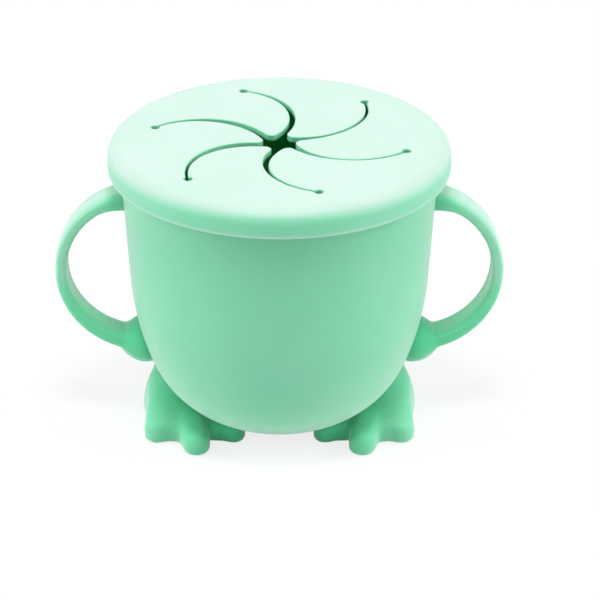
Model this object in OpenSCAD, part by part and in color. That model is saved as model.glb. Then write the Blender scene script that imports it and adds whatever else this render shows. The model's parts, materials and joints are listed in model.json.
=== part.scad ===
// Toddler snack container in soft silicone: a round-bellied cup with two loop handles and two webbed
// feet, and a stretch lid whose six curved flaps let a small hand in and keep the snacks from spilling.
// Millimetres. The origin is on the cup's axis at the table, +Z up, toes towards -Y, handles along X.

/* [Cup] */
// Height of the whole container, from the table to the top of the lid
total_h = 73; // [66:0.5:80]
// Outer radius of the cup where its wall goes under the lid
cup_r = 36.85; // [34:0.05:39]
// Lean of the side wall from upright, in degrees
wall_lean = 3.2; // [1:0.1:5]
// Radius of the long curve down the side
side_curve_r = 68; // [55:1:85]
// Radius of the tight curve under the belly
belly_curve_r = 25; // [20:0.5:28]
// Angle below the horizontal where the two curves meet, in degrees
curve_split = 21; // [16:1:28]
// Height of the cup's own bottom above the table
bottom_z = 2.2; // [1.5:0.1:3]
// Wall thickness of the cup
cup_wall = 2.3; // [1.8:0.1:2.8]
// Bevel on the rim's two top edges
rim_bevel = 0.5; // [0.2:0.1:0.8]

/* [Lid] */
// Wall thickness of the skirt outside the rim
skirt_wall = 2.28; // [1.8:0.02:4]
// Rounding of the lid's top edge
lid_round = 3.4; // [2:0.1:4]
// Thickness of the lid's plate, and of its flaps
lid_t = 1.5; // [1.2:0.1:2]
// Height of the skirt, from the lid's top to its lower edge
skirt_h = 6.3; // [5:0.1:8]
// Gap left all round between the lid and the cup's rim
rim_gap = 0.3; // [0.1:0.05:0.4]
// Wall thickness of the ring that goes down inside the rim
plug_wall = 1.4; // [1:0.1:1.8]
// Depth of the ring that goes down inside the rim
plug_h = 4; // [2:0.1:5]
// Bevel on the lower edges of the skirt and the ring
lid_bevel = 0.4; // [0.2:0.1:0.6]

/* [Flaps] */
// Width of the slits at their outer ends
slit_w = 1.1; // [0.8:0.05:1.2]
// How much each side of a slit flares away from its middle as the slit runs inwards
slit_flare = 0.25; // [0:0.01:0.3]
// How far round the lid each slit's circle lies from the slit's end, in degrees
slit_swirl = 28.4; // [26:0.1:31]
// Distance by which the slits pass the lid's centre
slit_miss = 2.2; // [2:0.1:2.6]
// Radius of the round hole at each slit's end
end_hole_r = 1; // [0.8:0.05:1.2]
// Width of plain lid left between the end holes and the ring inside the rim
slit_land = 2.1; // [1.5:0.1:3]
// Direction of the first slit's end from the lid's centre, in degrees
first_slit = 47; // [0:1:59]
// Rounding of the flaps' tips
tip_round = 1.6; // [1:0.1:2]
// How far back from its end the next slit meets a flap's bending line, in degrees of its curve
root_back = 22; // [18:1:30]
// Gap round a flap's rounded root
root_gap = 0.25; // [0.2:0.01:0.3]

/* [Handles] */
// Outer radius of the handle's loop
loop_r = 21; // [19:0.1:22]
// How far the loop's centre lies inside the cup's widest wall
loop_sunk = 4.85; // [3:0.05:6]
// Height of the loop's centre
loop_z = 40.2; // [38:0.1:42]
// Mean thickness of the strap at the loop's top and bottom
strap_t = 3.25; // [3.05:0.05:4]
// How far the finger hole's centre lies outwards of the loop's
finger_out = 0.55; // [0:0.05:0.6]
// How far the finger hole's centre lies above the loop's
finger_up = 0.25; // [0:0.05:0.5]
// Width of the strap
strap_w = 8; // [6:0.1:11]
// Rounding of the strap's edges
strap_round = 1.2; // [0.6:0.1:1.2]
// Radius of the round hand that ends the strap
hand_r = 5.8; // [5:0.1:7]

/* [Feet] */
// How far the middle toe lies inside the cup's widest wall
foot_sunk = 17.15; // [16.5:0.05:18]
// Distance of the middle toe's end forwards from the cup's axis
toe_mid_y = 18; // [17:0.1:19]
// Distance of the outer toe's end outwards from the middle toe
toe_out_x = 9.6; // [9:0.1:10.2]
// Distance of the outer toe's end forwards from the cup's axis
toe_out_y = 11.9; // [11:0.1:13]
// Distance of the inner toe's end inwards from the middle toe
toe_in_x = 9; // [8.4:0.1:9.6]
// Distance of the inner toe's end forwards from the cup's axis
toe_in_y = 12.3; // [11.5:0.1:13]
// Radius of the middle toe
toe_mid_r = 3.6; // [3.2:0.1:4]
// Radius of the outer toe
toe_out_r = 3.5; // [3.2:0.1:3.8]
// Radius of the inner toe
toe_in_r = 3; // [2.6:0.1:3.4]
// Height of the toes' centres above the table
toe_z = 2.4; // [2:0.1:2.5]
// Radius of the palm's rounded corners behind the toes
palm_r = 4.2; // [3.6:0.1:4.6]
// Distance of the palm's corners forwards from the cup's axis
palm_y = 9.8; // [9:0.1:10.5]
// Height of the palm's top corners above the toes' centres
palm_rise = 1; // [0.5:0.1:1.5]
// How far the heel reaches behind the cup's axis
heel_y = 8; // [4:0.5:12]
// Distance of the palm's inner corner outwards from the inner toe's end
palm_in_x = 2.2; // [1.8:0.1:2.8]
// How much narrower the heel is than the palm
heel_narrow = 3; // [1:0.1:5]
// Distance of the haunch's top outwards from the middle toe
haunch_x = 4.9; // [4.3:0.1:5.5]
// Height of the haunch's top above the table
haunch_z = 11; // [9:0.1:12]
// Radius of the haunch's rounded top
haunch_r = 5.6; // [5:0.1:6]

/* [Hidden] */
$fn = 96;

mint = "#93DDBA";
flaps = 6;
flap_step = 360 / flaps;
far = 200;          // longer than any part of the container
over = 1;           // how far a cut runs past the face that it opens
hull_fn = 24;
belly_steps = 12;
side_steps = 4;
edge_steps = 8;

function polar(r, a) = [r * cos(a), r * sin(a)];
function unit(v) = v / norm(v);
function heading(v) = atan2(v[1], v[0]);
function turned(p, a) = polar(norm(p), heading(p) + a);

// ---- cup profile: a flat bottom, a tight curve, a long curve and a leaning wall, each tangent to the next
rim_z = total_h - lid_t;
seam_z = total_h - skirt_h;
low_c0 = [0, bottom_z + belly_curve_r];
side_shift = (belly_curve_r - side_curve_r) * polar(1, -curve_split);
side_c0 = low_c0 + side_shift;
wall_foot0 = side_c0 + polar(side_curve_r, -wall_lean);
flat_r = cup_r - (wall_foot0[0] + tan(wall_lean) * (seam_z - wall_foot0[1]));
low_c = low_c0 + [flat_r, 0];
side_c = side_c0 + [flat_r, 0];

function wall_x(z, inset) = cup_r + tan(wall_lean) * (z - seam_z) - inset / cos(wall_lean);
function arc(c, r, from, to, steps) = [for (i = [0 : steps]) c + polar(r, from + (to - from) * i / steps)];
function tail(list) = [for (i = [1 : len(list) - 1]) list[i]];

// The cup's outline from its axis, drawn in by inset, up to the height top
function cup_outline(inset, top) = concat(
    [[0, bottom_z + inset]],
    arc(low_c, belly_curve_r - inset, -90, -curve_split, belly_steps),
    tail(arc(side_c, side_curve_r - inset, -curve_split, -wall_lean, side_steps)),
    [[wall_x(top, inset), top], [0, top]]);

// ---- lid and flaps, in the frame of one flap, with its own slit's end on the +X axis
skirt_in = wall_x(rim_z, 0) + rim_gap;
lid_r = skirt_in + skirt_wall;
plug_out = wall_x(rim_z - plug_h, cup_wall) - rim_gap;
plug_in = plug_out - plug_wall;
flap_z = rim_z + lid_t / 2;
slit_end_r = plug_in - slit_land - end_hole_r;
slit_end = [slit_end_r, 0];

// The slit's circle passes through its end and runs past the lid's centre at the distance slit_miss
slit_across = slit_end_r * cos(slit_swirl);
slit_curve_r = (pow(slit_end_r, 2) + pow(slit_miss, 2) - 2 * slit_across * slit_miss)
               / (2 * (slit_across - slit_miss));
slit_dir = unit(polar(slit_curve_r + slit_miss, slit_swirl) - slit_end);

// A slit's two sides are circles through its ends, the inner one smaller and the outer one larger
inner_r = slit_curve_r - slit_w / 2 - slit_flare;
outer_r = slit_curve_r + slit_w / 2 + slit_flare;
inner_c = slit_end + (inner_r + slit_w / 2) * slit_dir;
outer_c = slit_end + (outer_r - slit_w / 2) * slit_dir;

// A flap bends about the line from its own slit's end to a point a little way along the next slit
next_c = turned(slit_end + slit_curve_r * slit_dir, flap_step);
next_outer_c = turned(outer_c, flap_step);
next_end = turned(slit_end, flap_step);
root_q = next_c + polar(slit_curve_r, heading(next_end - next_c) - root_back);
root_a = heading(root_q - slit_end);

// The tip's circle touches the inner side of the flap's own slit and the outer side of the next one
tip_own = inner_r - tip_round;
tip_next = outer_r + tip_round;
centres = next_outer_c - inner_c;
tip_along = (pow(tip_own, 2) - pow(tip_next, 2) + pow(norm(centres), 2)) / (2 * norm(centres));
tip_aside = sqrt(pow(tip_own, 2) - pow(tip_along, 2));
tip_c = inner_c + tip_along * unit(centres) + tip_aside * unit([-centres[1], centres[0]]);

// The sharp end beyond the tip's circle, between the directions in which it touches the two sides
horn_a = outer_r / 2 * unit(tip_c - inner_c);
horn_b = outer_r / 2 * unit(next_outer_c - tip_c);
horn = [tip_c, tip_c + horn_a, tip_c + horn_a + horn_b, tip_c + horn_b];

module cup_solid() rotate_extrude() polygon(cup_outline(0, rim_z));

// What the bevel takes off a corner of the rim, on the side given by the sign
module corner_cut(side) polygon([[-side * rim_bevel, 0], [side * over, -rim_bevel - over],
                                 [side * over, over], [-side * rim_bevel, over]]);

module cup_bowl() {
    rim_out = wall_x(rim_z, 0);
    rim_in = wall_x(rim_z, cup_wall);
    color(mint) rotate_extrude() difference() {
        polygon(cup_outline(0, rim_z));
        polygon(cup_outline(cup_wall, rim_z + over));
        translate([rim_out, rim_z]) corner_cut(1);
        translate([rim_in, rim_z]) corner_cut(-1);
    }
}

// ---- handles: half a ring whose finger hole is a little off centre, ended below by a round hand

finger_r = loop_r - strap_t;
flat_w = strap_w - 2 * strap_round;

module loop_disc() {
    translate([0, -flat_w / 2]) square([loop_r, flat_w]);
    translate([0, -strap_w / 2]) square([loop_r - strap_round, strap_w]);
    for (side = [-1, 1]) translate([loop_r - strap_round, side * flat_w / 2]) circle(strap_round);
}

module finger_hole() difference() {
    translate([0, -strap_w / 2 - over]) square([finger_r + strap_round, strap_w + 2 * over]);
    translate([finger_r, -flat_w / 2]) square([strap_round + over, flat_w]);
    for (side = [-1, 1]) translate([finger_r + strap_round, side * flat_w / 2]) circle(strap_round);
}

module right_arm() {
    strap_end_z = (finger_up - finger_r - loop_r) / 2;
    difference() {
        translate([cup_r - loop_sunk, 0, loop_z]) {
            difference() {
                rotate([90, 0, 0]) rotate_extrude(angle = 180, start = -90) loop_disc();
                translate([finger_out, 0, finger_up]) rotate([90, 0, 0]) rotate_extrude() finger_hole();
            }
            translate([0, 0, strap_end_z]) sphere(hand_r);
        }
        cup_solid();
    }
}

module right_handle() color(mint) right_arm();
module left_handle() color(mint) mirror([1, 0, 0]) right_arm();

// ---- feet: three webbed toes on a palm that rises into the haunch on the cup's side

module ball(x, y, z, r) translate([x, -y, z]) sphere(r, $fn = hull_fn);

module right_leg() {
    mid_x = cup_r - foot_sunk;
    out_x = mid_x + toe_out_x;
    in_x = mid_x - toe_in_x;
    palm_out_x = out_x + toe_out_r - palm_r;
    heel_in_x = in_x + palm_in_x + heel_narrow;
    palm_z = toe_z + palm_rise;
    difference() {
        union() {
            hull() {
                ball(palm_out_x, palm_y, toe_z, palm_r);
                ball(in_x + palm_in_x, palm_y, toe_z, palm_r);
                ball(palm_out_x, -heel_y, toe_z, palm_r);
                ball(heel_in_x, -heel_y, toe_z, palm_r);
                ball(mid_x + haunch_x, 0, haunch_z, haunch_r);
            }
            hull() {
                ball(mid_x, toe_mid_y, toe_z, toe_mid_r);
                ball(mid_x, palm_y, palm_z, palm_r);
            }
            hull() {
                ball(out_x, toe_out_y, toe_z, toe_out_r);
                ball(palm_out_x, palm_y, palm_z, palm_r);
            }
            hull() {
                ball(in_x, toe_in_y, toe_z, toe_in_r);
                ball(in_x + palm_in_x, palm_y, toe_z, palm_r);
            }
        }
        translate([-far / 2, -far / 2, -far]) cube(far);
        cup_solid();
    }
}

module right_foot() color(mint) right_leg();
module left_foot() color(mint) mirror([1, 0, 0]) right_leg();

// ---- lid: a plate with a skirt outside the rim and a ring inside it, open where the flaps hang

module lid_profile() {
    b = lid_bevel;
    low = rim_z - plug_h;
    polygon(concat(
        [[0, total_h]],
        arc([lid_r - lid_round, total_h - lid_round], lid_round, 90, 0, edge_steps),
        [[lid_r, seam_z + b], [lid_r - b, seam_z], [skirt_in + b, seam_z], [skirt_in, seam_z + b],
         [skirt_in, rim_z], [plug_out, rim_z], [plug_out, low + b], [plug_out - b, low],
         [plug_in + b, low], [plug_in, low + b], [plug_in, rim_z], [0, rim_z]]));
}

// The space that a flap of half thickness r takes up, from its rounded root inwards
module root_space(r) translate(slit_end) rotate([0, 0, root_a]) {
    rotate([0, 90, 0]) cylinder(r = r, h = far, center = true);
    translate([-far / 2, 0, -far / 2]) cube(far);
}

module end_hole() translate(slit_end) cylinder(r = end_hole_r, h = far);

module lid_ring() color(mint) difference() {
    rotate_extrude() lid_profile();
    cylinder(r = slit_miss, h = far);
    for (k = [0 : flaps - 1]) at_flap(k) {
        end_hole();
        intersection() {
            translate([outer_c[0], outer_c[1], rim_z - over]) cylinder(r = outer_r, h = lid_t + 2 * over);
            translate([0, 0, flap_z]) root_space(lid_t / 2 + root_gap);
        }
    }
}

module at_flap(k) rotate([0, 0, first_slit + k * flap_step]) children();

// ---- flaps: each lies inside its own slit's circle and outside the next one's, with a rounded tip

module flap_outline() {
    difference() {
        translate(inner_c) circle(inner_r);
        translate(next_outer_c) circle(outer_r);
        polygon(horn);
    }
    translate(tip_c) circle(tip_round);
}

module flap(k) color(mint) at_flap(k) difference() {
    intersection() {
        translate([0, 0, rim_z]) linear_extrude(lid_t) flap_outline();
        translate([0, 0, flap_z]) root_space(lid_t / 2);
    }
    end_hole();
}

cup_bowl();
left_handle();
right_handle();
left_foot();
right_foot();
lid_ring();
flap(0);  // lid_flap_1
flap(1);  // lid_flap_2
flap(2);  // lid_flap_3
flap(3);  // lid_flap_4
flap(4);  // lid_flap_5
flap(5);  // lid_flap_6
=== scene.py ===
import json
from math import atan2, ceil, cos, degrees, hypot, pi, radians, sin, tan

import bmesh
import bpy
import numpy as np
from bpy.props import FloatProperty, FloatVectorProperty, IntProperty, PointerProperty
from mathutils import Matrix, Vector


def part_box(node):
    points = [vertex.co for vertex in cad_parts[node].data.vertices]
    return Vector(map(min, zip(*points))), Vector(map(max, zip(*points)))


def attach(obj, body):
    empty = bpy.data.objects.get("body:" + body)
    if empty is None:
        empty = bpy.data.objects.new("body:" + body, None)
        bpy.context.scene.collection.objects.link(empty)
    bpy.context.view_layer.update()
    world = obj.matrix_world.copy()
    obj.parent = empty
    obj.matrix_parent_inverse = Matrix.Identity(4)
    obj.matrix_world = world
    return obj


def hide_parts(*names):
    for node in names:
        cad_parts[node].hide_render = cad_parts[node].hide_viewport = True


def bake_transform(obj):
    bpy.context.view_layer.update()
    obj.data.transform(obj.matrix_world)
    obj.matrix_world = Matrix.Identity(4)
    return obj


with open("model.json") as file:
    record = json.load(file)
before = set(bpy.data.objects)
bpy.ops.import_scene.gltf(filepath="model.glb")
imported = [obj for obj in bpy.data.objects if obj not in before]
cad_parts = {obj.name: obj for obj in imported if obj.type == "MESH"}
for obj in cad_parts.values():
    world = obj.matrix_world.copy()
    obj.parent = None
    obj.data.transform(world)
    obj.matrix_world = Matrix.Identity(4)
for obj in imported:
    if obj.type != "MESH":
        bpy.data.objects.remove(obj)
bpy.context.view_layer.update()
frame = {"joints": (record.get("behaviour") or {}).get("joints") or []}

bl_info = {
    "name": "Toddler Snack Container",
    "version": (1, 0, 0),
    "blender": (4, 5, 0),
    "location": "View3D > Sidebar > Snack Cup",
    "description": "Silicone snack cup with loop handles, webbed feet and a lid of curved flaps",
    "category": "Add Mesh",
}

MM = 0.001
WELD = 0.0002 * MM
SHARP = radians(50)
CUP_LOW, CUP_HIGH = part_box("cup_bowl")
LID_LOW, LID_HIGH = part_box("lid_ring")
FLAP_JOINTS = [joint for joint in frame["joints"] if joint["type"] == "hinge"]
FLAPS = len(FLAP_JOINTS)

# Tones run from deep mint at -1 through mint at 0 to pale mint at 1, and they paint light and shade into the
# colour: pale where light falls strongly, deep where shade falls.
# The plate's top is pale with painted light, where the light from above falls on it.
PLATE_PAINTED_LIGHT = 0.9
# A painted highlight: a thin pale line along the skirt's lower lip.
LIP_PAINTED_HIGHLIGHT = 0.6
# The handle's painted light and shade along its loop: place in degrees, the strap's edges, and what is added
# on its outer and on its inner face. Faces turned up and out are pale with painted light, and the edges are
# deep with painted shade near the cup under the lid and on the lower loop.
HANDLE_PAINTED_LIGHT_AND_SHADE = (
    (-90, -0.45, 0.2, 0.45),
    (-35, -0.4, 0.2, 0.45),
    (0, 0.3, 0.1, 0.1),
    (58, 0.1, 0.75, 0),
    (80, -0.65, 0.85, 0),
)
# Painted shade: the round hand is a little darker than the strap.
HAND_PAINTED_SHADE = -0.3
# The foot's painted shade, where the belly shades it, is full up to the first of these distances from the
# cup's axis, in millimetres, and nothing from the second one on.
FOOT_SHADE = (20, 34)
FOOT_PAINTED_SHADE = -0.95

# The foot's limbs in millimetres from the cup's axis and the table: start, end, and the radius at each.
FOOT_LIMBS = (
    ((19.7, -18.1, 2.45), (22.3, -6, 4.2), 3.2, 4.2),  # middle toe
    ((29.2, -12.4, 2.45), (27, -2.5, 7.2), 3.15, 4.7),  # outer toe
    ((10.9, -12.8, 2.2), (18, -5, 2.6), 2.7, 3.6),  # inner toe
    ((25, -11.5, 2.2), (24.6, -3, 6.6), 2.95, 5),  # outer web
    ((14.9, -11.5, 2.1), (18, -5, 3), 2.8, 3.8),  # inner web
    ((18.6, 1, 2), (25, 1, 2.2), 5.5, 6.9),  # sole
    ((17.6, 5.7, 2), (26, 5.5, 2.2), 5.7, 6.3),  # heel
)
HAUNCH = ((24.8, 0.6, 3), (24.9, 0.2, 12.6), 6.9, 5)
# A point inside the foot from which all of its skin can be seen, and a length that reaches past its skin.
FOOT_INSIDE = (21.5, -4, 2.9)
PAST_FOOT = 60 * MM

# Points along each stretch of the lid's open middle, and rows of each stretch of the lid's section. The
# plate's first rows lie this many millimetres from the open middle's edge.
END_HOLE_POINTS = 26
ROOT_POINTS = 34
NEXT_SLIT_POINTS = 16
NEAR_EDGE = (0, 0.02, 0.06, 0.12, 0.2, 0.3, 0.42, 0.6, 0.9, 1.4)
PLATE_ROWS = 9
UNDER_PLATE_ROWS = 5
LID_EDGE_ROWS = 18
SKIRT_ROWS = 5
LIP_ROWS = 6
GROOVE_ROWS = 4

# The silicone's clouds and grains for each metre, the grain's height and strength in the bump, how far it
# moves the roughness, and how far red, green and blue light wander beside each other.
CLOUDS, CLOUD_DETAIL = 45, 3
GRAINS, GRAIN_DETAIL = 2600, 4
GRAIN_HEIGHT, GRAIN_STRENGTH = 0.02 * MM, 0.12
ROUGHNESS_SPREAD = 0.06
GLOW_REACH = (0.5, 1, 0.75)
SILICONE_IOR = 1.45
SHEEN_ROUGHNESS = 0.42

# Rays that see the floor directly see white by the share FLOOR_WHITE up to the first of these distances from
# the cup's axis, in metres, and plain white from the second one on. The rest shows the matt grey's shadow.
FLOOR_FADE = (0.1, 0.45)
FLOOR_WHITE = 0.8
FLOOR_GREY = 0.82

# Area lamps: name, place, width, height, watts, and whether gloss on the silicone shows them.
LAMPS = (
    ("window", (0, 0.95, 0.9), 2, 1.4, 3, True),
    ("overhead", (0, -0.37, 1.18), 0.3, 0.3, 7.8, True),
    ("left", (-1, -0.12, 0.6), 0.7, 0.7, 9, False),
    ("right", (1, -0.12, 0.6), 0.7, 0.7, 9, False),
)
LAMP_AIM = (0, 0, 0.04)
AMBIENT = 0.31


# ---- settings


def length(name, description, millimetres):
    """A length setting, whose default is given in millimetres."""
    default = millimetres * MM
    return FloatProperty(name=name, description=description, default=default, unit="LENGTH", precision=5)


def angle(name, description, in_degrees):
    """An angle setting, whose default is given in degrees."""
    return FloatProperty(name=name, description=description, default=radians(in_degrees), subtype="ANGLE")


def colour(name, description, rgb):
    """A colour setting."""
    return FloatVectorProperty(
        name=name, description=description, default=rgb, size=3, subtype="COLOR", min=0, max=1)


def share(name, description, value):
    """A setting from 0 to 1."""
    return FloatProperty(name=name, description=description, default=value, min=0, max=1)


class CupSettings(bpy.types.PropertyGroup):
    """Sizes of the bowl"""

    wall: length("Wall", "Thickness of the cup's wall", 2.3)
    lean: angle("Lean", "Lean of the upper wall from upright", 3.2)
    side_radius: length("Side curve", "Radius of the long curve down the side", 68)
    belly_radius: length("Belly curve", "Radius of the tight curve under the belly", 25)
    split: angle("Curve split", "Angle below the horizontal where the two curves meet", 21)
    rim_round: length("Rim rounding", "Rounding of the rim's two top edges", 0.8)
    columns: IntProperty(name="Columns", description="Points round the cup", default=288)


class HandleSettings(bpy.types.PropertyGroup):
    """Sizes of the loop handles"""

    loop_radius: length("Loop radius", "Outer radius of the handle's loop", 21)
    loop_x: length("Loop centre", "Distance of the loop's centre from the axis", 32)
    loop_z: length("Loop height", "Height of the loop's centre", 40.2)
    finger_radius: length("Finger hole", "Radius of the finger hole", 17.6)
    finger_out: length("Finger hole out", "How far the finger hole's centre lies outside the loop's", 0.55)
    finger_up: length("Finger hole up", "How far the finger hole's centre lies above the loop's", -0.1)
    strap_width: length("Strap width", "Width of the strap", 8)
    hand_radius: length("Hand", "Radius of the round hand at the strap's lower end", 5.9)
    top_swell: length("Upper swell", "How much the strap thickens inwards where it leaves the cup", 1.8)
    low_swell: length("Lower swell", "How much each side of the strap thickens towards the hand", 0.35)
    crease: length("Crease", "Softness of the crease between the strap and the hand", 3)


class FootSettings(bpy.types.PropertyGroup):
    """Softness of the webbed feet's hollows and edges"""

    web: length("Web", "Softness of the hollows between the toes", 3)
    instep: length("Instep", "Softness of the hollow between the toes and the haunch", 4)
    sole_round: length("Sole edge", "Softness of the sole's edge", 1.6)


class LidSettings(bpy.types.PropertyGroup):
    """Sizes of the lid, its slits and its flaps"""

    edge_round: length("Edge", "Rounding of the lid's top edge", 3.4)
    plate: length("Plate", "Thickness of the lid's plate and its flaps", 1.5)
    gap: length("Gap", "Gap between the lid and the cup's rim", 0.3)
    plug_wall: length("Plug wall", "Wall thickness of the ring inside the rim", 1.4)
    plug_height: length("Plug height", "Depth of the ring inside the rim", 4)
    lip: length("Lip", "Rounding of the skirt's lower edge", 0.38)
    slit_width: length("Slit", "Width of the slits at their outer ends", 0.62)
    slit_flare: length("Flare", "How much each side of a slit flares as it runs inwards", 0.49)
    slit_miss: length("Miss", "Distance by which the slits pass the lid's centre", 2.2)
    swirl: angle("Swirl", "How far round the lid each slit's circle lies from the slit's end", 28.4)
    hole: length("End hole", "Radius of the round hole at each slit's end", 1)
    tip_round: length("Tip", "Rounding of the flaps' tips", 1.6)
    slit_soft: length("Slit edge", "Rounding of the slits' edges", 0.24)
    droop: length("Droop", "How far the flaps' tips hang below the lid's top", 0.7)
    bend: length("Bend", "Width of the strip in which a flap bends", 7)


class LookSettings(bpy.types.PropertyGroup):
    """Colours and finish of the silicone"""

    mint: colour("Mint", "Colour of the silicone", (0.180, 0.580, 0.360))
    # The pale mint is painted light: the plate, the skirt's lip and the handles' lit faces are pale where
    # light falls on them.
    pale: colour("Pale mint", "Colour of the thin plate and lips", (0.485, 0.620, 0.565))
    # The deep mint is painted shade: the feet under the belly, the handles near the cup and the hand are deep
    # where shade falls.
    deep: colour("Deep mint", "Colour of the silicone where it is thick", (0.055, 0.550, 0.265))
    mottle: share("Mottle", "How far the colour wanders from place to place", 0.07)
    roughness: share("Roughness", "Roughness of the satin surface", 0.46)
    cup_depth: length("Cup depth", "How far light wanders in the cup's thick silicone", 4.5)
    cup_glow: share("Cup glow", "Share of the light that wanders in the cup's silicone", 0.5)
    cup_sheen: share("Cup sheen", "Strength of the powdery sheen on the cup", 0.6)
    lid_depth: length("Lid depth", "How far light wanders in the lid's thin silicone", 0.8)
    lid_glow: share("Lid glow", "Share of the light that wanders in the lid's silicone", 0.3)
    lid_sheen: share("Lid sheen", "Strength of the powdery sheen on the lid", 0.2)


class StageSettings(bpy.types.PropertyGroup):
    """Camera and floor"""

    distance: length("Distance", "Distance from the camera to the cup's middle", 550)
    aim_height: length("Aim", "Height of the point that the camera circles", 36.5)
    elevation: angle("Elevation", "Height of the camera above the horizon", 27.41)
    lens: FloatProperty(name="Lens", description="Focal length in millimetres", default=138.75)
    shift_x: FloatProperty(name="Shift X", description="Sideways shift of the picture", default=0.0344)
    shift_y: FloatProperty(name="Shift Y", description="Upward shift of the picture", default=-0.0345)
    floor: length("Floor", "Width of the floor", 4000)


# ---- mesh making


def skin(name, grid, wrap_rows=False, tone=0):
    """A mesh on a grid of points: one quad between neighbours in rows and columns, columns always closed.

    Points that coincide are welded, so a row drawn to one point becomes a pole. The tone, which is painted
    light and shade, goes on as an attribute.
    """
    rows, columns = grid.shape[:2]
    index = np.arange(rows * columns).reshape(rows, columns)
    right = np.roll(index, -1, axis=1)
    quads = np.stack([index, right, np.roll(right, -1, axis=0), np.roll(index, -1, axis=0)], axis=-1)
    if not wrap_rows:
        quads = quads[:-1]
    mesh = bpy.data.meshes.new(name)
    mesh.from_pydata(grid.reshape(-1, 3).tolist(), [], quads.reshape(-1, 4).tolist())
    attribute = mesh.attributes.new("tone", "FLOAT", "POINT")
    attribute.data.foreach_set("value", np.broadcast_to(tone, (rows, columns)).astype(np.float32).ravel())
    work = bmesh.new()
    work.from_mesh(mesh)
    bmesh.ops.remove_doubles(work, verts=work.verts, dist=WELD)
    bmesh.ops.dissolve_degenerate(work, edges=work.edges, dist=WELD)
    bmesh.ops.recalc_face_normals(work, faces=work.faces)
    work.to_mesh(mesh)
    work.free()
    mesh.shade_smooth()
    mesh.set_sharp_from_angle(angle=SHARP)
    piece = bpy.data.objects.new(name, mesh)
    bpy.context.scene.collection.objects.link(piece)
    return piece


def polar(radius, turn):
    """Points at a radius and an angle, as an array of pairs."""
    return np.stack([radius * np.cos(turn), radius * np.sin(turn)], axis=-1)


def arc(centre, radius, start, end, steps):
    """Points on a circle from one angle to another, in degrees."""
    return np.asarray(centre) + polar(radius, np.radians(np.linspace(start, end, steps)))


def line(start, end, steps):
    """Evenly spaced points from start to end."""
    return np.linspace(start, end, steps)


def heading(vector):
    """Direction of a plane vector, in degrees."""
    return degrees(atan2(vector[1], vector[0]))


def unit(vector):
    """A vector of the same direction and length 1."""
    return np.asarray(vector, float) / np.linalg.norm(vector)


def turned(points, turn):
    """Plane points turned about the origin, by degrees."""
    c, s = cos(radians(turn)), sin(radians(turn))
    return np.asarray(points) @ np.array([[c, s], [-s, c]])


def revolve(profile, turns):
    """Grid of a profile of radius and height turned about the cup's axis."""
    r, z = profile[:, :1], profile[:, 1:]
    return np.stack([r * np.cos(turns), r * np.sin(turns), np.broadcast_to(z, (len(z), len(turns)))], axis=-1)


def smooth_max(a, b, width):
    """The larger of two values, plus a quarter of the width where they are equal.

    What is added falls off with the square of their difference, to nothing where they differ by the width.
    """
    near = np.clip(1 - np.abs(a - b) / np.maximum(width, 1e-9), 0, 1)
    return np.maximum(a, b) + near**2 * width / 4


# ---- cup


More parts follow.
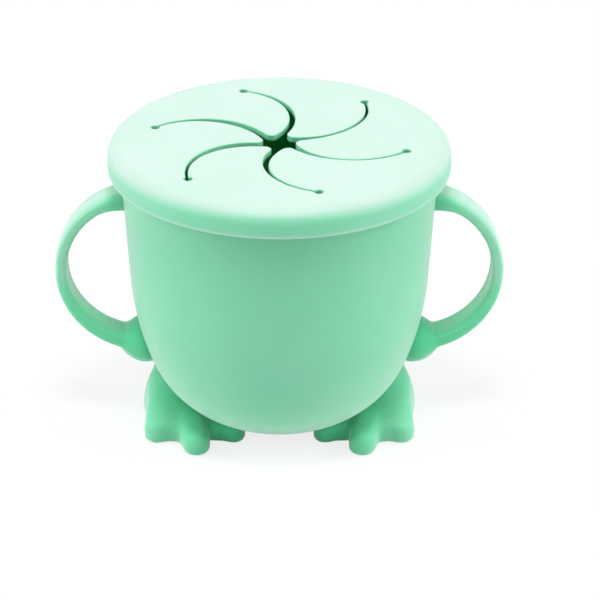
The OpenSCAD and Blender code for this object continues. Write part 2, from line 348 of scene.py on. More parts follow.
class CupShape:
    """The bowl's outline: a flat bottom, a tight belly curve, a long side curve and a leaning wall.

    Each runs on from the one before without a corner.
    """

    def __init__(self, cup, lid):
        self.cup = cup
        self.bottom = CUP_LOW.z
        self.rim = CUP_HIGH.z
        self.seam = LID_LOW.z
        self.radius = CUP_HIGH.x - tan(cup.lean) * (self.rim - self.seam)
        middle = np.array([0, self.bottom + cup.belly_radius])
        side = middle + (cup.belly_radius - cup.side_radius) * polar(1, -cup.split)
        foot = side + cup.side_radius * polar(1, -cup.lean)
        self.flat = self.radius - foot[0] - tan(cup.lean) * (self.seam - foot[1])
        self.belly = middle + [self.flat, 0]
        self.side = side + [self.flat, 0]

    def wall_x(self, height, inset):
        """Radius of the leaning wall at a height, drawn in by an inset."""
        lean = self.cup.lean
        return self.radius + tan(lean) * (height - self.seam) - inset / cos(lean)

    def outline(self, inset):
        """Points from the axis along the bottom and up to the start of the leaning wall."""
        cup = self.cup
        split, lean = degrees(cup.split), degrees(cup.lean)
        bottom_points, belly_points, side_points = 5, 28, 14
        return np.concatenate([
            line([0, self.bottom + inset], [self.flat, self.bottom + inset], bottom_points),
            arc(self.belly, cup.belly_radius - inset, -90, -split, belly_points)[1:],
            arc(self.side, cup.side_radius - inset, -split, -lean, side_points)[1:],
        ])

    def profile(self):
        """Closed section of the bowl: outside up to the rim, over its two rounded edges, and down inside."""
        soft, lean = self.cup.rim_round, degrees(self.cup.lean)
        top = self.rim - soft
        outer_x = self.wall_x(top, soft)
        inner_x = self.wall_x(top, self.cup.wall - soft)
        outer, inner = self.outline(0), self.outline(self.cup.wall)
        wall_points, edge_points = 12, 8
        over_outer = arc([outer_x, top], soft, -lean, 90, edge_points)
        over_inner = arc([inner_x, top], soft, 90, 180 - lean, edge_points)
        return np.concatenate([
            outer,
            line(outer[-1], over_outer[0], wall_points)[1:-1],
            over_outer,
            over_inner,
            line(over_inner[-1], inner[-1], wall_points)[1:-1],
            inner[::-1],
        ])

    def sink(self, points, depth):
        """Points that lie deeper than a depth under the bowl's outer skin, brought back to that depth.

        Each moves along the normal of the stretch that it lies under, worked out from its radius and height.
        """
        r = np.hypot(points[..., 0], points[..., 1])
        z = points[..., 2]
        section = np.stack([r, z], axis=-1)
        from_belly, from_side = section - self.belly, section - self.side
        belly_angle = np.arctan2(from_belly[..., 1], from_belly[..., 0])
        side_angle = np.arctan2(from_side[..., 1], from_side[..., 0])
        lean = self.cup.lean
        belly_depth = self.cup.belly_radius - np.hypot(*np.moveaxis(from_belly, -1, 0))
        side_depth = self.cup.side_radius - np.hypot(*np.moveaxis(from_side, -1, 0))
        wall_depth = (self.wall_x(z, 0) - r) * cos(lean)
        flat = (r < self.flat) & (z < self.belly[1])
        on_belly = belly_angle < -self.cup.split
        on_side = side_angle < -lean
        inside = np.select([flat, on_belly, on_side], [z - self.bottom, belly_depth, side_depth], wall_depth)
        turn = np.select([flat, on_belly, on_side], [-pi / 2 + 0 * r, belly_angle, side_angle], -lean)
        push = np.maximum(inside - depth, 0)
        around = np.arctan2(points[..., 1], points[..., 0])
        out = push * np.cos(turn)
        return points + np.stack([out * np.cos(around), out * np.sin(around), push * np.sin(turn)], axis=-1)


def cup_shape(scene):
    """The bowl's outline from the scene's settings."""
    return CupShape(scene.snack_cup, scene.snack_lid)


# ---- handles


def mirrored(points):
    """The same piece on the cup's other side."""
    return points * [-1, 1, 1]


def handle_grid(handle, shape):
    """A strap carried round the loop and into a round hand.

    Along the loop's angle the strap's outside follows one circle and its inside another, a little off centre.
    Its section is a rounded oblong in polar form, and near the lower end the section's radius is the smooth
    maximum of that oblong and of the hand's ball. The strap's corners come from the oblong's power.
    """
    start, stop, power = radians(80), radians(-90), 4.4
    loop_rows, hand_rows, columns = 110, 23, 96
    loop = np.linspace(start, stop, loop_rows)
    to_hole = handle.finger_out * np.cos(loop) + handle.finger_up * np.sin(loop)
    across_hole = handle.finger_out * np.sin(loop) - handle.finger_up * np.cos(loop)
    low = np.clip(-np.sin(loop), 0, 1) ** 1.5
    swell_from, swell_over = 0.8, 0.19
    high = np.clip((np.sin(loop) - swell_from) / swell_over, 0, 1) ** 2
    hole_edge = to_hole + np.sqrt(handle.finger_radius**2 - across_hole**2)
    inner = hole_edge - handle.top_swell * high - handle.low_swell * low
    outer = handle.loop_radius + handle.low_swell * low
    middle = (outer + inner) / 2
    thick = outer - inner
    run = middle[-1] * (loop - stop)
    tail = np.linspace(0, -handle.hand_radius, hand_rows + 1)[1:]
    reach = np.concatenate([run, tail])
    middle = np.append(middle, np.full(hand_rows, middle[-1]))
    thick = np.append(thick, np.full(hand_rows, thick[-1]))
    at = np.append(loop, np.full(hand_rows, stop))
    along = np.append(np.zeros(loop_rows), -tail)
    centre = np.stack([
        handle.loop_x + middle * np.cos(at) - along,
        np.zeros(len(at)),
        handle.loop_z + middle * np.sin(at),
    ], axis=-1)
    outward = np.stack([np.cos(at), np.zeros(len(at)), np.sin(at)], axis=-1)
    column = np.linspace(0, 2 * pi, columns + 1)[:-1]
    half_t, half_w = thick[:, None] / 2, handle.strap_width / 2
    turn = np.arctan2(half_w * np.sin(column), half_t * np.cos(column))
    share_t, share_w = np.abs(np.cos(turn) / half_t), np.abs(np.sin(turn) / half_w)
    oblong = (share_t**power + share_w**power) ** (-1 / power)
    ball = handle.hand_radius**2 - reach**2
    ball = (np.sign(ball) * np.sqrt(np.abs(ball)))[:, None]
    fade = np.clip(1 + reach / handle.hand_radius, 0, 1)[:, None]
    radius = smooth_max(oblong * fade, ball, handle.crease * fade)
    grid = centre[:, None] + radius[..., None] * (
        np.cos(turn)[..., None] * outward[:, None] + np.sin(turn)[..., None] * np.array([0, 1, 0]))
    cap = np.broadcast_to(centre[:1, None], grid[:1].shape)
    # Painted light and shade on the strap and its hand.
    tone = handle_painted_light_and_shade(np.degrees(at)[:, None], turn, np.abs(reach)[:, None] / handle.hand_radius)
    tone = np.concatenate([tone[:1], tone])
    return shape.sink(np.concatenate([cap, grid]), shape.cup.wall / 2), tone


def handle_painted_light_and_shade(place, turn, from_hand):
    """Painted light and shade on the strap, by its place on the loop and by how far a point faces out of or
    into it.

    The inner face's share fades out towards the hand, whose own painted shade fades in there.
    """
    knots, edges, outer, inner = np.array(HANDLE_PAINTED_LIGHT_AND_SHADE).T
    on_hand = np.clip(1.6 - from_hand, 0, 1)
    out = np.clip(np.cos(turn), 0, 1) * np.interp(place, knots, outer)
    into = np.clip(-np.cos(turn), 0, 1) * np.interp(place, knots, inner) * (1 - on_hand)
    return np.interp(place, knots, edges) + out + into + HAND_PAINTED_SHADE * on_hand


# ---- feet


def limb(points, start, end, start_radius, end_radius):
    """Distance to a straight limb with upright sides under it, in millimetres from the axis and the table.

    Its radius changes evenly from one end's ball to the other's. Under its middle line the sides drop
    straight, and over it the section is a circle drawn a little towards a square.
    """
    start, end = np.array(start) * MM, np.array(end) * MM
    lifted = points.copy()
    lifted[..., 2] = np.maximum(lifted[..., 2], start[2])
    along = np.clip(((lifted - start) @ (end - start)) / ((end - start) @ (end - start)), 0, 1)
    off = lifted - start - along[..., None] * (end - start)
    level = np.hypot(off[..., 0], off[..., 1])
    above = np.maximum(off[..., 2], 0)
    squareness = 2.6
    away = (level**squareness + above**squareness) ** (1 / squareness)
    return away - (start_radius + along * (end_radius - start_radius)) * MM


def foot_distance(points, foot):
    """Smooth union of the toes, webs, sole and heel, and of the haunch over them, cut flat at the table."""
    paddle = limb(points, *FOOT_LIMBS[0])
    for part in FOOT_LIMBS[1:]:
        paddle = -smooth_max(-paddle, -limb(points, *part), foot.web)
    body = -smooth_max(-paddle, -limb(points, *HAUNCH), foot.instep)
    return smooth_max(body, -points[..., 2], foot.sole_round)


def foot_grid(foot, shape):
    """The foot's skin by direction from a point inside it.

    For each heading and slope, the distance at which the smooth union of its parts ends is found by halving.
    Slopes lie closest together near the level.
    """
    headings, slopes, evenness, halvings = 288, 151, 0.22, 34
    inside = np.array(FOOT_INSIDE) * MM
    way = np.linspace(0, 2 * pi, headings + 1)[:-1]
    step = np.linspace(-1, 1, slopes)
    slope = (evenness * step + (1 - evenness) * step**3)[:, None] * pi / 2
    direction = np.stack([
        np.cos(slope) * np.cos(way),
        np.cos(slope) * np.sin(way),
        np.broadcast_to(np.sin(slope), (slopes, headings)),
    ], axis=-1)
    near = np.zeros(direction.shape[:2])
    far = np.full(direction.shape[:2], PAST_FOOT)
    for _ in range(halvings):
        middle = (near + far) / 2
        hit = foot_distance(inside + middle[..., None] * direction, foot) > 0
        far = np.where(hit, middle, far)
        near = np.where(hit, near, middle)
    grid = inside + near[..., None] * direction
    grid[..., 2] = np.maximum(grid[..., 2], 0)
    out = np.hypot(grid[..., 0], grid[..., 1]) / MM
    # Painted shade under the belly: deep nearest the cup's axis, fading out away from it.
    shade_from, shade_to = FOOT_SHADE
    tone = FOOT_PAINTED_SHADE * (1 - np.clip((out - shade_from) / (shade_to - shade_from), 0, 1))
    return shape.sink(grid, shape.cup.wall / 2), tone


# ---- lid


class SlitShape:
    """The slits' and flaps' lines in the frame of one flap, whose own slit ends on the +X axis.

    A slit's middle line is a circle through its end that passes the lid's centre at the miss. Its sides are
    circles that pass its end half its width away, one on either side. Their centres lie on the line from the
    end to the middle line's centre, and the flare is taken from one radius and added to the other, so the
    slit widens inwards. The flap's tip is a circle that touches its own slit's inner side and the next
    slit's outer side.
    """

    def __init__(self, lid):
        self.lid = lid
        first = FLAP_JOINTS[0]
        self.end = np.array([hypot(*first["pos_m"][:2]), 0])
        self.first = heading(first["pos_m"])
        self.step = 360 / FLAPS
        self.root_turn = heading(-np.array(first["axis"][:2])) - self.first
        self.root = polar(1, radians(self.root_turn))
        across, miss = self.end[0] * cos(lid.swirl), lid.slit_miss
        curve = (self.end[0] ** 2 + miss**2 - 2 * across * miss) / (2 * (across - miss))
        to_middle = unit(polar(curve + miss, lid.swirl) - self.end)
        half = lid.slit_width / 2
        self.inner_r = curve - half - lid.slit_flare
        self.outer_r = curve + half + lid.slit_flare
        self.inner = self.end + (self.inner_r + half) * to_middle
        self.outer = self.end + (self.outer_r - half) * to_middle
        self.next_outer = turned(self.outer, self.step)
        self.next_end = turned(self.end, self.step)
        self.corner = self.crossing()
        between = self.next_outer - self.inner
        own, other = self.inner_r - lid.tip_round, self.outer_r + lid.tip_round
        apart = np.linalg.norm(between)
        along = (own**2 - other**2 + apart**2) / (2 * apart)
        aside = np.sqrt(own**2 - along**2)
        self.tip = self.inner + along * unit(between) + aside * unit([-between[1], between[0]])
        self.tip_own = unit(self.tip - self.inner)
        self.tip_next = unit(self.next_outer - self.tip)

    def crossing(self):
        """Where the root line first meets the next slit's outer side."""
        from_centre = self.end - self.next_outer
        b = from_centre @ self.root
        c = from_centre @ from_centre - self.outer_r**2
        return self.end + self.root * (-b - np.sqrt(b * b - c))

    def edge_distance(self, points):
        """Distance from the nearest edge of the slits, measured into the sheet."""
        own = self.inner_r - np.linalg.norm(points - self.inner, axis=-1)
        beyond = np.linalg.norm(points - self.next_outer, axis=-1) - self.outer_r
        hole = np.linalg.norm(points - self.end, axis=-1) - self.lid.hole
        from_tip = points - self.tip
        in_tip = (from_tip @ self.tip_own > 0) & (from_tip @ self.tip_next > 0)
        tip = self.lid.tip_round - np.linalg.norm(from_tip, axis=-1)
        return np.where(in_tip, tip, np.minimum(np.minimum(own, beyond), hole))

    def dip(self, distance):
        """How far a slit's rounded edge lies below the sheet's face, at a distance from the edge."""
        soft = self.lid.slit_soft
        inwards = soft - np.clip(distance, 0, soft)
        return soft - np.sqrt(np.maximum(soft**2 - inwards**2, 0))

    def tone(self, distance):
        """Tone of the plate's face: pale with painted light, but plain mint on the slits' own walls."""
        return PLATE_PAINTED_LIGHT * np.clip(distance / self.lid.slit_soft, 0, 1)

    def leaves_hole(self, centre, radius):
        """Heading from the centre of a slit side's circle to where that side leaves the end hole, in degrees.

        It lies before the heading of the slit's end by the swing of a chord, whose length comes from the
        hole's radius and from how far the side passes the end.
        """
        off = radius - np.linalg.norm(self.end - centre)
        swing = 2 * np.arcsin(np.sqrt(max(self.lid.hole**2 - off**2, 0)) / (2 * radius))
        return heading(self.end - centre) - degrees(swing)


def flap_sides(slits):
    """The flap's two long sides from its root to its tip, point for point.

    One side runs round the end hole and along the flap's own slit, the other along the next slit. Both end
    on the tip's circle, at its foremost point.
    """
    lid = slits.lid
    hole_points, slit_points, tip_points = 7, 64, 15
    own_from = slits.leaves_hole(slits.inner, slits.inner_r)
    first = slits.inner + slits.inner_r * polar(1, radians(own_from))
    hole_to = heading(first - slits.end) % 360
    own_to = heading(slits.tip_own)
    own_to -= 360 * ceil((own_to - own_from) / 360)
    own_side = np.concatenate([
        arc(slits.end, lid.hole, slits.root_turn, hole_to, hole_points),
        arc(slits.inner, slits.inner_r, own_from, own_to, slit_points)[1:],
    ])
    next_from = heading(slits.corner - slits.next_outer)
    next_to = heading(-slits.tip_next)
    next_to -= 360 * ceil((next_to - next_from) / 360)
    next_side = arc(slits.next_outer, slits.outer_r, next_from, next_to, hole_points + slit_points - 1)
    front = heading(slits.tip_own + slits.tip_next)
    spread = (heading(slits.tip_own) - front + 180) % 360 - 180
    tip_own = arc(slits.tip, lid.tip_round, front + spread, front, tip_points)[1:]
    tip_next = arc(slits.tip, lid.tip_round, front - spread, front, tip_points)[1:]
    return np.concatenate([own_side, tip_own]), np.concatenate([next_side, tip_next])


def flap_grid(slits, turn):
    """A flap as straight rows from its own slit's side to the next slit's, from the root to the tip.

    Each row goes over the sheet and back under it. The height falls off in a quarter circle at the slits'
    edges, and the sheet droops with the square of the distance from the root line.
    """
    lid = slits.lid
    own, other = flap_sides(slits)
    columns = 40
    across = (1 - np.cos(np.linspace(0, pi, columns + 1))) / 2
    plan = own[:, None] + across[:, None] * (other - own)[:, None]
    distance = slits.edge_distance(plan)
    dip = slits.dip(distance)
    inwards = (plan - slits.end) @ polar(1, radians(slits.root_turn + 90))
    sag = lid.droop * (np.clip(inwards, 0, None) / inwards.max()) ** 2
    top = LID_HIGH.z - dip - sag
    under = LID_HIGH.z - lid.plate + dip - sag
    over_row = np.concatenate([plan, top[..., None]], axis=-1)
    under_row = np.concatenate([plan, under[..., None]], axis=-1)[:, ::-1]
    grid = np.concatenate([over_row, under_row], axis=1)
    closing = grid[:1].copy()
    closing[..., 2] = LID_HIGH.z - lid.plate / 2
    grid = np.concatenate([closing, grid])
    grid[..., :2] = turned(grid[..., :2], turn)
    # Painted light: the flap's top face is pale, its underside plain mint.
    tone = np.concatenate([slits.tone(distance), np.zeros(distance.shape)], axis=1)
    return grid, np.concatenate([tone[:1], tone])


def window_edge(slits):
    """The edge of the lid's open middle: round each end hole, along a root line, then along the next slit.

    Returns the edge, the direction in which each of its points looks at the rim, and the flap beside it. The
    directions share out the full turn by the way walked along the edge, with more for the end holes.
    """
    slit_from = slits.leaves_hole(slits.outer, slits.outer_r)
    meet = slits.outer + slits.outer_r * polar(1, radians(slit_from))
    hole_from = heading(meet - slits.end)
    hole = arc(slits.end, slits.lid.hole, hole_from, slits.root_turn, END_HOLE_POINTS)
    ease = (1 - np.cos(np.linspace(0, pi, ROOT_POINTS)))[:, None] / 2
    root = hole[-1] + ease[1:] * (slits.corner - hole[-1])
    next_from = heading(slits.corner - slits.next_outer)
    next_slit = arc(slits.next_outer, slits.outer_r, next_from, slit_from + slits.step, NEXT_SLIT_POINTS)
    sector = np.concatenate([hole, root, next_slit[1:-1]])
    ahead = turned(sector[:1], slits.step)
    walk = np.linalg.norm(np.diff(np.concatenate([sector, ahead]), axis=0), axis=-1)
    hole_weight, first_look = 3, -7.2
    walk[:END_HOLE_POINTS - 1] *= hole_weight
    walked = np.concatenate([[0], np.cumsum(walk)[:-1]]) / walk.sum()
    looks = first_look + slits.step * walked
    edge, look, flap = [], [], []
    for k in range(FLAPS):
        edge.append(turned(sector, k * slits.step))
        look.append(looks + k * slits.step)
        flap.append(np.full(len(sector), k))
    return np.concatenate(edge), np.radians(np.concatenate(look)), np.concatenate(flap)


def ring_distance(slits, plan, flap):
    """Distance of points near the open middle from the slits' edges and end holes beside them.

    Points beside the first end hole are measured from their own slit's outer side, and only on the side of
    the hole where that slit runs. The others are measured from the next slit's.
    """
    unreached = 1.0
    nearest = np.full(plan.shape[:-1], unreached)
    into_slit = turned(unit(slits.end - slits.outer), -90)
    for k in range(FLAPS):
        mine = flap == k
        own = turned(plan[:, mine], -k * slits.step)
        after = np.linalg.norm(own - slits.next_outer, axis=-1) - slits.outer_r
        hole = np.linalg.norm(own - slits.end, axis=-1) - slits.lid.hole
        next_hole = np.linalg.norm(own - slits.next_end, axis=-1) - slits.lid.hole
        before = np.abs(np.linalg.norm(own - slits.outer, axis=-1) - slits.outer_r)
        before = np.where((own - slits.end) @ into_slit > 0, before, unreached)
        by_hole = np.arange(len(hole[0])) < END_HOLE_POINTS
        slit = np.where(by_hole, before, after)
        nearest[:, mine] = np.minimum(np.minimum(slit, hole), next_hole)
    return nearest


def lid_grid(slits, shape):
    """The lid without its flaps, as one closed section carried round the lid.

    Each column starts at the open middle's edge, crosses the plate to the rounded rim, goes down the skirt,
    up its inside, round the ring inside the cup's rim and back under the plate to the edge.
    """
    lid = slits.lid
    top, under_z, low = LID_HIGH.z, LID_HIGH.z - lid.plate, LID_LOW.z
    rim_r, lip = LID_HIGH.x, lid.lip
    flat_r = rim_r - lid.edge_round
    skirt_in = shape.wall_x(shape.rim, 0) + lid.gap
    plug_out = shape.wall_x(shape.rim - lid.plug_height, shape.cup.wall) - lid.gap
    plug_in = plug_out - lid.plug_wall
    plug_low = shape.rim - lid.plug_height
    before_corner = 0.6 * MM
    edge, look, flap = window_edge(slits)
    near = np.array(NEAR_EDGE) * MM
    rim_top = flat_r * polar(1, look)
    way = rim_top - edge
    plan = edge + near[:, None, None] * (way / np.linalg.norm(way, axis=-1)[:, None])
    distance = ring_distance(slits, plan, flap)
    over = np.concatenate([plan, (top - slits.dip(distance))[..., None]], axis=-1)
    under = over.copy()[::-1]
    under[..., 2] = top + under_z - under[..., 2]
    plate = flat_rows(plan[-1], rim_top, top, PLATE_ROWS)
    under_plate = flat_rows(plug_in * polar(1, look), under[0, :, :2], under_z, UNDER_PLATE_ROWS)
    section = np.concatenate([
        arc([flat_r, top - lid.edge_round], lid.edge_round, 90, 0, LID_EDGE_ROWS),
        line([rim_r, top - lid.edge_round], [rim_r, low + lip], SKIRT_ROWS)[1:-1],
        arc([rim_r - lip, low + lip], lip, 0, -90, LIP_ROWS),
        arc([skirt_in + lip, low + lip], lip, -90, -180, LIP_ROWS),
        line([skirt_in, low + lip], [skirt_in, under_z - before_corner], SKIRT_ROWS)[1:],
        line([skirt_in, under_z], [plug_out, under_z], GROOVE_ROWS),
        line([plug_out, under_z], [plug_out, plug_low + lip], SKIRT_ROWS)[1:-1],
        arc([plug_out - lip, plug_low + lip], lip, 0, -90, LIP_ROWS),
        arc([plug_in + lip, plug_low + lip], lip, -90, -180, LIP_ROWS),
        line([plug_in, plug_low + lip], [plug_in, under_z], SKIRT_ROWS)[1:],
    ])
    grid = np.concatenate([over, plate, revolve(section, look), under_plate, under])
    grid[..., :2] = turned(grid[..., :2], slits.first)
    tone = np.zeros(grid.shape[:2])
    # Painted light: the plate's top is pale, plain mint down the slits' walls.
    tone[:len(over)] = slits.tone(distance)
    rim_row = len(over) + len(plate)
    tone[len(over):rim_row] = PLATE_PAINTED_LIGHT
    lip_row = rim_row + LID_EDGE_ROWS + SKIRT_ROWS - 2
    # Painted light: the rounded edge and skirt are pale at the top and beside the handles.
    tone[rim_row:lip_row] = rim_painted_light(look + radians(slits.first))
    # Painted highlight: a thin pale line along the skirt's lower lip.
    tone[lip_row:lip_row + 2 * LIP_ROWS] = LIP_PAINTED_HIGHLIGHT
    return grid, tone


def flat_rows(start, end, height, steps):
    """Rows at one height between two rows of plane points, evenly spaced and without those two."""
    shares = np.linspace(0, 1, steps)[1:-1, None, None]
    rows = start + shares * (end - start)
    return np.concatenate([rows, np.full(rows.shape[:2] + (1,), height)], axis=-1)


def rim_painted_light(heading_round):
    """Painted light on the lid's rounded edge and skirt: pale at the top, where the light from above falls,
    to mint below.

    It falls evenly with the angle over the rounded edge, from a start that reaches further down beside the
    handles, where the skirt keeps a little of the pale too, as painted light from the sides.
    """
    beside = np.abs(np.cos(heading_round))
    fall = np.append(np.linspace(0, 2, LID_EDGE_ROWS), np.full(SKIRT_ROWS - 2, 2))[:, None]
    reach, more_beside, skirt_beside = 1.55, 0.5, 0.18
    return PLATE_PAINTED_LIGHT * np.clip(reach + more_beside * beside - fall, skirt_beside * beside, 1)


# ---- materials


def add_node(nodes, kind, operation=None, **values):
    """A new node of a kind, with its operation, and with values for its inputs by name.

    An underscore stands for the space in an input's name.
    """
    node = nodes.new(kind)
    if operation:
        node.operation = operation
    for name, value in values.items():
        node.inputs[name.replace("_", " ")].default_value = value
    return node


def silicone(name, look, depth, glow, sheen):
    """Satin silicone: soft subsurface, faint mottling in colour and fine grain in the bump.

    The mesh attribute "tone", painted light and shade, turns the colour from deep at -1 through mint at 0 to
    pale at 1.
    """
    material = bpy.data.materials.new(name)
    material.use_nodes = True
    nodes, links = material.node_tree.nodes, material.node_tree.links
    shader = nodes["Principled BSDF"]
    place = add_node(nodes, "ShaderNodeTexCoord")
    cloud = add_node(nodes, "ShaderNodeTexNoise", Scale=CLOUDS, Detail=CLOUD_DETAIL)
    wander = add_node(
        nodes, "ShaderNodeMapRange", From_Min=0.3, From_Max=0.7, To_Min=-look.mottle, To_Max=look.mottle)
    tone = add_node(nodes, "ShaderNodeAttribute")
    tone.attribute_name = "tone"
    level = add_node(nodes, "ShaderNodeMath", "ADD")
    place_on_ramp = add_node(nodes, "ShaderNodeMapRange", From_Min=-1)
    shades = add_node(nodes, "ShaderNodeValToRGB")
    shades.color_ramp.elements[0].color = (*look.deep, 1)
    shades.color_ramp.elements[1].color = (*look.pale, 1)
    shades.color_ramp.elements.new(0.5).color = (*look.mint, 1)
    grain = add_node(nodes, "ShaderNodeTexNoise", Scale=GRAINS, Detail=GRAIN_DETAIL)
    satin = add_node(
        nodes, "ShaderNodeMapRange",
        To_Min=look.roughness - ROUGHNESS_SPREAD, To_Max=look.roughness + ROUGHNESS_SPREAD)
    bump = add_node(nodes, "ShaderNodeBump", Strength=GRAIN_STRENGTH, Distance=GRAIN_HEIGHT)
    links.new(place.outputs["Object"], cloud.inputs["Vector"])
    links.new(place.outputs["Object"], grain.inputs["Vector"])
    links.new(cloud.outputs["Fac"], wander.inputs["Value"])
    links.new(wander.outputs["Result"], level.inputs[0])
    links.new(tone.outputs["Fac"], level.inputs[1])
    links.new(level.outputs["Value"], place_on_ramp.inputs["Value"])
    links.new(place_on_ramp.outputs["Result"], shades.inputs["Fac"])
    links.new(shades.outputs["Color"], shader.inputs["Base Color"])
    links.new(grain.outputs["Fac"], satin.inputs["Value"])
    links.new(satin.outputs["Result"], shader.inputs["Roughness"])
    links.new(grain.outputs["Fac"], bump.inputs["Height"])
    links.new(bump.outputs["Normal"], shader.inputs["Normal"])
    shader.inputs["Subsurface Weight"].default_value = glow
    shader.inputs["Subsurface Radius"].default_value = GLOW_REACH
    shader.inputs["Subsurface Scale"].default_value = depth
    shader.inputs["IOR"].default_value = SILICONE_IOR
    shader.inputs["Sheen Weight"].default_value = sheen
    shader.inputs["Sheen Roughness"].default_value = SHEEN_ROUGHNESS
    return material


def silicone_of(scene, slot):
    """The satin material of a slot, made once."""
    name = f"satin_{slot}"
    look = scene.snack_look
    of_lid = (look.lid_depth, look.lid_glow, look.lid_sheen)
    of_cup = (look.cup_depth, look.cup_glow, look.cup_sheen)
    finish = of_lid if slot == "lid_silicone" else of_cup
    return bpy.data.materials.get(name) or silicone(name, look, *finish)


def finish_piece(scene, piece, body, slot, *nodes):
    """Gives a piece its silicone, hides the CAD nodes that it stands for and hangs it on the body that it
    rides on, if any.
    """
    piece.data.materials.append(silicone_of(scene, slot))
    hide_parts(*nodes)
    if body:
        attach(piece, body)


# ---- operators


class SNACK_OT_bowl(bpy.types.Operator):
    """Add the cup's round-bellied bowl"""

    bl_idname = "snack.bowl"
    bl_label = "Bowl"

    def execute(self, context):
        shape = cup_shape(context.scene)
        turns = np.linspace(0, 2 * pi, context.scene.snack_cup.columns + 1)[:-1]
        piece = skin("bowl", revolve(shape.profile(), turns))
        finish_piece(context.scene, piece, "cup", "cup_silicone", "cup_bowl")
        return {"FINISHED"}


class SNACK_OT_handles(bpy.types.Operator):
    """Add the two loop handles with their round hands"""

    bl_idname = "snack.handles"
    bl_label = "Handles"

    def execute(self, context):
        grid, tone = handle_grid(context.scene.snack_handle, cup_shape(context.scene))
        for side, points in (("right", grid), ("left", mirrored(grid))):
            piece = skin(f"handle_{side}", points, tone=tone)
            finish_piece(context.scene, piece, "cup", "cup_silicone", f"{side}_handle")
        return {"FINISHED"}


class SNACK_OT_feet(bpy.types.Operator):
    """Add the two webbed feet"""

    bl_idname = "snack.feet"
    bl_label = "Feet"

    def execute(self, context):
        grid, tone = foot_grid(context.scene.snack_foot, cup_shape(context.scene))
        for side, points in (("right", grid), ("left", mirrored(grid))):
            piece = skin(f"foot_{side}", points, tone=tone)
            finish_piece(context.scene, piece, "cup", "cup_silicone", f"{side}_foot")
        return {"FINISHED"}


class SNACK_OT_lid(bpy.types.Operator):
    """Add the lid's plate, skirt and inner ring"""

    bl_idname = "snack.lid"
    bl_label = "Lid"

    def execute(self, context):
        slits = SlitShape(context.scene.snack_lid)
        grid, tone = lid_grid(slits, cup_shape(context.scene))
        piece = skin("lid", grid, wrap_rows=True, tone=tone)
        finish_piece(context.scene, piece, "lid", "lid_silicone", "lid_ring")
        return {"FINISHED"}


class SNACK_OT_flaps(bpy.types.Operator):
    """Add the lid's curved flaps, each a piece of its own at rest in the plate"""

    bl_idname = "snack.flaps"
    bl_label = "Flaps"

    def execute(self, context):
        slits = SlitShape(context.scene.snack_lid)
        for k, joint in enumerate(FLAP_JOINTS):
            turn = slits.first + k * slits.step
            grid, tone = flap_grid(slits, turn)
            piece = skin(f"flap_{k + 1}", grid, tone=tone)
            finish_piece(context.scene, piece, None, "lid_silicone", f"lid_flap_{k + 1}")
            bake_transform(piece)
        return {"FINISHED"}


class SNACK_OT_stage(bpy.types.Operator):
    """Add the floor, the soft studio lights, the white surroundings and the camera"""

    bl_idname = "snack.stage"
    bl_label = "Stage"

    def execute(self, context):
        scene, stage = context.scene, context.scene.snack_stage
        add_camera(scene, stage)
        add_floor(scene, stage)
        add_lamps(scene)
        add_world(scene)
        scene.view_settings.view_transform = "Standard"
        return {"FINISHED"}


def add_camera(scene, stage):
    """The camera, on a circle round the cup's middle in the plane x = 0, looking at the middle."""
    data = bpy.data.cameras.new("camera")
    data.lens = stage.lens
    data.shift_x, data.shift_y = stage.shift_x, stage.shift_y
    camera = bpy.data.objects.new("camera", data)
    back, up = stage.distance * cos(stage.elevation), stage.distance * sin(stage.elevation)
    camera.location = (0, -back, stage.aim_height + up)
    camera.rotation_euler = (pi / 2 - stage.elevation, 0, 0)
    scene.collection.objects.link(camera)
    scene.camera = camera


def seen_directly(nodes, links):
    """Socket that is 1 for rays from the camera, off gloss and through glass, and 0 for all other light."""
    rays = add_node(nodes, "ShaderNodeLightPath")
    seen = rays.outputs["Is Camera Ray"]
    for kind in ("Is Glossy Ray", "Is Transmission Ray"):
        either = add_node(nodes, "ShaderNodeMath", "MAXIMUM")
        links.new(seen, either.inputs[0])
        links.new(rays.outputs[kind], either.inputs[1])
        seen = either.outputs["Value"]
    return seen


def add_floor(scene, stage):
    """A square floor of pale matt, which fades to plain white away from the cup for rays that see it."""
    half = stage.floor / 2
    corners = [(-half, -half, 0), (half, -half, 0), (half, half, 0), (-half, half, 0)]
    mesh = bpy.data.meshes.new("floor")
    mesh.from_pydata(corners, [], [(0, 1, 2, 3)])
    floor = bpy.data.objects.new("floor", mesh)
    scene.collection.objects.link(floor)
    material = bpy.data.materials.new("floor")
    material.use_nodes = True
    nodes, links = material.node_tree.nodes, material.node_tree.links
    nodes.clear()
    output = add_node(nodes, "ShaderNodeOutputMaterial")
    matt = add_node(nodes, "ShaderNodeBsdfDiffuse", Color=(FLOOR_GREY, FLOOR_GREY, FLOOR_GREY, 1))
    bright = add_node(nodes, "ShaderNodeEmission")
    seen = add_node(nodes, "ShaderNodeMixShader")
    place = add_node(nodes, "ShaderNodeTexCoord")
    away = add_node(nodes, "ShaderNodeVectorMath", "LENGTH")
    white = add_node(
        nodes, "ShaderNodeMapRange", From_Min=FLOOR_FADE[0], From_Max=FLOOR_FADE[1], To_Min=FLOOR_WHITE)
    white.interpolation_type = "SMOOTHSTEP"
    part = add_node(nodes, "ShaderNodeMath", "MULTIPLY")
    links.new(place.outputs["Object"], away.inputs[0])
    links.new(away.outputs["Value"], white.inputs["Value"])
    links.new(seen_directly(nodes, links), part.inputs[0])
    links.new(white.outputs["Result"], part.inputs[1])
    links.new(part.outputs["Value"], seen.inputs["Fac"])
    links.new(matt.outputs["BSDF"], seen.inputs[1])
    links.new(bright.outputs["Emission"], seen.inputs[2])
    links.new(seen.outputs["Shader"], output.inputs["Surface"])
    mesh.materials.append(material)


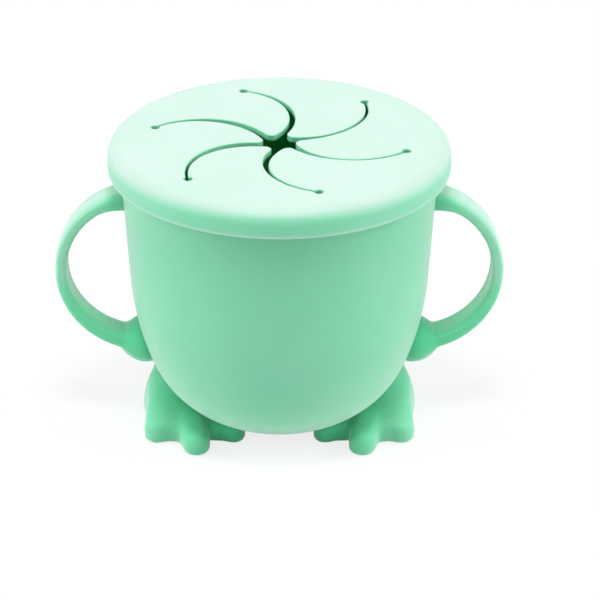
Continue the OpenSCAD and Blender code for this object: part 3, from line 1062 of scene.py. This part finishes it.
def add_lamps(scene):
    """The soft area lamps, each turned towards the cup."""
    for name, place, width, height, watts, in_gloss in LAMPS:
        data = bpy.data.lights.new(name, "AREA")
        data.shape = "RECTANGLE"
        data.size, data.size_y = width, height
        data.energy = watts
        lamp = bpy.data.objects.new(name, data)
        lamp.location = place
        lamp.visible_glossy = in_gloss
        aim = Vector(LAMP_AIM) - lamp.location
        lamp.rotation_euler = aim.to_track_quat("-Z", "Y").to_euler()
        scene.collection.objects.link(lamp)


def add_world(scene):
    """White surroundings for rays that see them, and an even, weaker light on the object."""
    world = bpy.data.worlds.new("white")
    scene.world = world
    world.use_nodes = True
    nodes, links = world.node_tree.nodes, world.node_tree.links
    surround = nodes["Background"]
    surround.inputs["Color"].default_value = (1, 1, 1, 1)
    strength = add_node(nodes, "ShaderNodeMapRange", To_Min=AMBIENT)
    links.new(seen_directly(nodes, links), strength.inputs["Value"])
    links.new(strength.outputs["Result"], surround.inputs["Strength"])


# ---- panel and registration


class SNACK_PT_panel(bpy.types.Panel):
    """Steps that make the snack cup"""

    bl_label = "Snack Cup"
    bl_idname = "SNACK_PT_panel"
    bl_space_type = "VIEW_3D"
    bl_region_type = "UI"
    bl_category = "Snack Cup"

    def draw(self, context):
        for step in STEPS:
            self.layout.operator(step.bl_idname)


SETTINGS = {
    "snack_cup": CupSettings,
    "snack_handle": HandleSettings,
    "snack_foot": FootSettings,
    "snack_lid": LidSettings,
    "snack_look": LookSettings,
    "snack_stage": StageSettings,
}
STEPS = (SNACK_OT_stage, SNACK_OT_bowl, SNACK_OT_handles, SNACK_OT_feet, SNACK_OT_lid, SNACK_OT_flaps)


def register():
    """Registers the settings, the steps and the panel."""
    for settings in SETTINGS.values():
        bpy.utils.register_class(settings)
    for name, settings in SETTINGS.items():
        setattr(bpy.types.Scene, name, PointerProperty(type=settings))
    for step in STEPS:
        bpy.utils.register_class(step)
    bpy.utils.register_class(SNACK_PT_panel)


def unregister():
    """Takes the panel, the steps and the settings out again."""
    bpy.utils.unregister_class(SNACK_PT_panel)
    for step in reversed(STEPS):
        bpy.utils.unregister_class(step)
    for name in SETTINGS:
        delattr(bpy.types.Scene, name)
    for settings in reversed(SETTINGS.values()):
        bpy.utils.unregister_class(settings)


def main():
    """Makes the whole cup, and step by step."""
    register()
    bpy.ops.snack.stage()
    bpy.ops.snack.bowl()
    bpy.ops.snack.handles()
    bpy.ops.snack.feet()
    bpy.ops.snack.lid()
    bpy.ops.snack.flaps()


if __name__ == "__main__":
    main()
